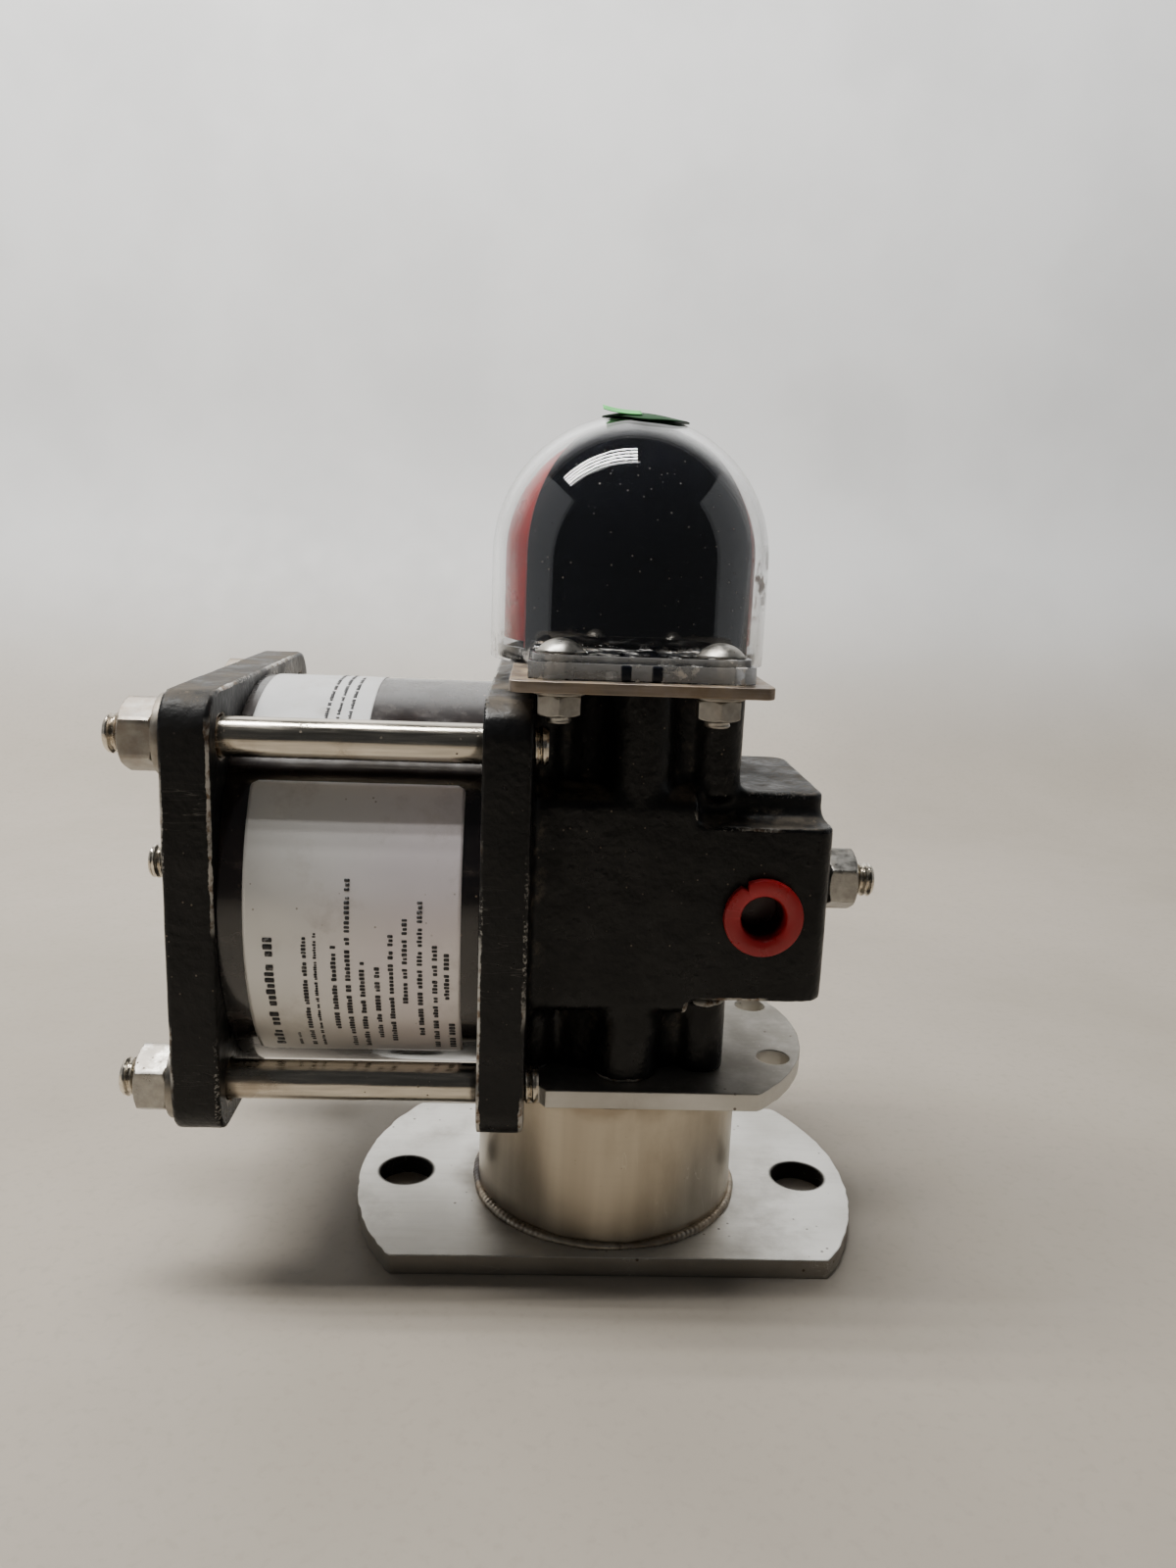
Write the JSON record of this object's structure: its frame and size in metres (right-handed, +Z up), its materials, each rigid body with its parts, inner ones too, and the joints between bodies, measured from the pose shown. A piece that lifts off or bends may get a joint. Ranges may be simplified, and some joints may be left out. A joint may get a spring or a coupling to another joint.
{
  "type": "rack and pinion valve actuator",
  "caption": "Pneumatic rack-and-pinion quarter-turn valve actuator on a welded spool bracket, with a tie-rod cylinder, travel stop screws and a clear position-indicator dome.",
  "frame": {"origin": "stem axis at the underside of the base plate", "axes": "+Z up along the stem axis, +X from the air cylinder towards the stop box, -Y towards the capped air port"},
  "size_m": [0.164, 0.097, 0.1814],
  "materials": {
    "cast_iron_black": "gloss black paint over a rough casting, chipped at its edges",
    "composite_tube": "smooth glossy black filament-wound composite",
    "stainless": "brushed stainless steel, warm with handling marks",
    "fastener_steel": "bright stainless fastener, lightly stained",
    "machined_steel": "machined alloy steel, oiled",
    "piston_aluminium": "turned aluminium",
    "bearing_bronze": "sintered bronze",
    "guide_plastic": "off-white bearing plastic",
    "seal_rubber": "black nitrile rubber",
    "red_cap_plastic": "soft red polyethylene, slightly translucent",
    "clear_polycarbonate": "clear polycarbonate, dusty and scratched",
    "indicator_black": "gloss black plastic",
    "indicator_red": "satin red plastic",
    "indicator_green": "satin green plastic",
    "green_sticker": "green paper-backed sticker",
    "weld_metal": "heat-tinted weld bead",
    "silver_label": "satin silver film label",
    "white_label": "white film label"
  },
  "bodies": {
    "housing": {"body_casting": "cast_iron_black", "outer_end_cap": "cast_iron_black", "cylinder_tube": "composite_tube", "tie_rods": "stainless", "top_plate": "stainless", "bracket_flange": "stainless", "bracket_pipe": "stainless", "base_plate": "stainless", "tie_rod_washers": "fastener_steel", "tie_rod_nuts": "fastener_steel", "stop_lock_nuts": "fastener_steel", "dome_screws": "fastener_steel", "dome_washers": "fastener_steel", "dome_nuts": "fastener_steel", "top_plate_screws": "fastener_steel", "bracket_screws": "fastener_steel", "bearing_retaining_ring": "fastener_steel", "lower_bearing": "bearing_bronze", "upper_bearing": "bearing_bronze", "rack_guides": "guide_plastic", "thrust_washers": "guide_plastic", "tube_seals": "seal_rubber", "shaft_seals": "seal_rubber", "stop_thread_seals": "seal_rubber", "dome_cover": "clear_polycarbonate", "indicator_mask": "indicator_black", "dome_sticker": "green_sticker", "bracket_welds": "weld_metal", "front_label": "silver_label", "top_label": "white_label"},
    "rack": {"rack": "machined_steel", "piston": "piston_aluminium", "piston_seal": "seal_rubber", "piston_wear_band": "guide_plastic", "piston_screw": "fastener_steel"},
    "pinion": {"pinion_shaft": "machined_steel", "stem_coupling": "machined_steel", "coupling_set_screw": "fastener_steel", "indicator_core": "indicator_black", "indicator_red_panels": "indicator_red", "indicator_green_panels": "indicator_green", "indicator_screw": "fastener_steel"},
    "right_stop": {"right_stop_screw": "fastener_steel"},
    "left_stop": {"left_stop_screw": "fastener_steel"},
    "port_cap": {"port_cap": "red_cap_plastic"}
  },
  "joints": [
    {"name": "rack_slide", "type": "slide", "parent": "housing", "child": "rack", "axis": [1, 0, 0], "range_m": [0, 0.0192]},
    {"name": "pinion_turn", "type": "hinge", "parent": "housing", "child": "pinion", "pos_m": [0, 0, 0.0805], "axis": [0, 0, 1], "range_deg": [-90, 0]},
    {"name": "right_stop_adjust", "type": "slide", "parent": "housing", "child": "right_stop", "axis": [1, 0, 0], "range_m": [0, 0.0021]},
    {"name": "left_stop_adjust", "type": "slide", "parent": "housing", "child": "left_stop", "axis": [-1, 0, 0], "range_m": [0, 0.0021]},
    {"name": "port_cap_pull", "type": "slide", "parent": "housing", "child": "port_cap", "axis": [0, -1, 0], "range_m": [0, 0.012]}
  ],
  "couplings": [
    {"joint": "pinion_turn", "follows": "rack_slide", "rad_per_m": -81.633}
  ]
}
